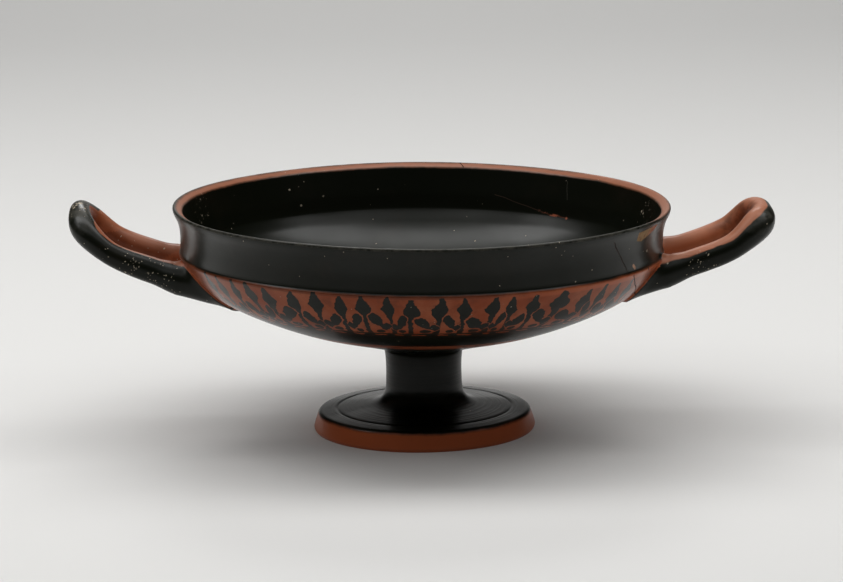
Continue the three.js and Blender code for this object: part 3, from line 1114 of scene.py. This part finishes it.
def sweep_floor():
    """The floor and the backdrop as one sheet: flat and wide, then flat and narrow, a quarter
    circle of one metre, then upright. It is a section of (depth, height) carried sideways as far
    as the reach. The paper is painted greyer towards its near end, a painted shade, and glows a
    little, a painted light that lifts the shadows."""
    bend = np.linspace(0, np.pi / 2, 25)
    depth = np.r_[SHEET_NEAR, WIDE_TO, NARROW_FROM, BEND_FROM + np.sin(bend), BEND_FROM + 1]
    height = np.r_[0.0, 0.0, 0.0, 1 - np.cos(bend), SHEET_TOP]
    reach = np.where(depth < NARROW_FROM, WIDE_REACH, NARROW_REACH)
    across = np.stack([-reach, reach])
    grid = np.stack([across, np.tile(depth, (2, 1)), np.tile(height, (2, 1))], axis=-1)
    at = np.arange(2 * len(depth)).reshape(2, -1)
    faces = np.stack([at[0, :-1], at[1, :-1], at[1, 1:], at[0, 1:]], axis=-1)
    mesh = bpy.data.meshes.new("floor")
    mesh.from_pydata(grid.reshape(-1, 3).tolist(), [], faces.tolist())
    mesh.polygons.foreach_set("use_smooth", np.ones(len(mesh.polygons), bool))
    paper = Finish("floor_paper")
    _, deep, _ = paper.parts(paper.node("ShaderNodeTexCoord").outputs["Object"])
    # Painted shade: the paper grows greyer towards its near end.
    shade = paper.mix(paper.ramp(deep, -0.22, -0.7), PAPER, PAPER_NEAR_SHADE)
    paper.surface("Base Color", shade)
    # Painted light: the paper glows a little, which lifts the shadows.
    paper.surface("Emission Color", (1, 1, 1, 1))
    paper.surface("Emission Strength", PAPER_GLOW)
    paper.surface("Roughness", 0.9)
    paper.surface("Specular IOR Level", 0.1)
    mesh.materials.append(paper.material)
    return placed("floor", mesh)


def look_along(direction, roll=0):
    """The turn that points an object's -Z along a direction, its +Y up, and rolls it."""
    turn = Vector(direction).to_track_quat("-Z", "Y").to_matrix()
    return (turn @ Matrix.Rotation(roll, 3, "Z")).to_euler()


def soft_light(name, place, aim, size, power):
    """A rectangular lamp of some watts at a place, turned to face its aim."""
    lamp = bpy.data.lights.new(name, "AREA")
    lamp.shape = "RECTANGLE"
    lamp.size, lamp.size_y = size
    lamp.energy = power
    obj = placed(name, lamp)
    obj.location = place
    obj.rotation_euler = look_along(np.subtract(aim, place))


# A ceiling of soft boxes: their height, their size, their places across, and for each place in
# depth their power in watts.
HANGING = 1.3
BOX_SIZE = (0.8, 0.6)
ACROSS = (-1.6, -0.8, 0, 0.8, 1.6)
CEILING = {
    -1.0: (0, 2.5, 1.9, 2.0, 0),
    -0.4: (5.3, 1.2, 0.9, 2.1, 3.1),
    0.2: (2.2, 8.8, 6.0, 7.2, 0),
}
WORLD_STRENGTH = 0.002

CAMERA_PLACE = (0, -1.4, 0.338)
CAMERA_AIM = (-0.00041, 0, 0.0578)
CAMERA_ROLL_DEG = -0.95
SENSOR_WIDTH = 36
LENS = 146.90391459074733
VIEW_GAMMA = 0.88

sweep_floor()
for deep, powers in CEILING.items():
    for aside, power in zip(ACROSS, powers):
        if power:
            soft_light("ceiling", (aside, deep, HANGING), (aside, deep, 0), BOX_SIZE, power)
soft_light("behind", place=(0, 1.9, 1.6), aim=(0, 0, 0.05), size=BOX_SIZE, power=13)
soft_light("backdrop", place=(0, 1.3, 2.2), aim=(0, 2.3, 1.4), size=(1.6, 0.6), power=3.5)

world = bpy.data.worlds.new("studio")
world.use_nodes = True
background = world.node_tree.nodes["Background"]
background.inputs["Color"].default_value = (1, 1, 1, 1)
background.inputs["Strength"].default_value = WORLD_STRENGTH
bpy.context.scene.world = world

camera_data = bpy.data.cameras.new("camera")
camera_data.sensor_width = SENSOR_WIDTH
camera_data.lens = LENS
camera = placed("camera", camera_data)
camera.location = CAMERA_PLACE
towards = np.subtract(CAMERA_AIM, CAMERA_PLACE)
camera.rotation_euler = look_along(towards, math.radians(CAMERA_ROLL_DEG))
bpy.context.scene.camera = camera
bpy.context.scene.view_settings.view_transform = "Standard"
bpy.context.scene.view_settings.gamma = VIEW_GAMMA
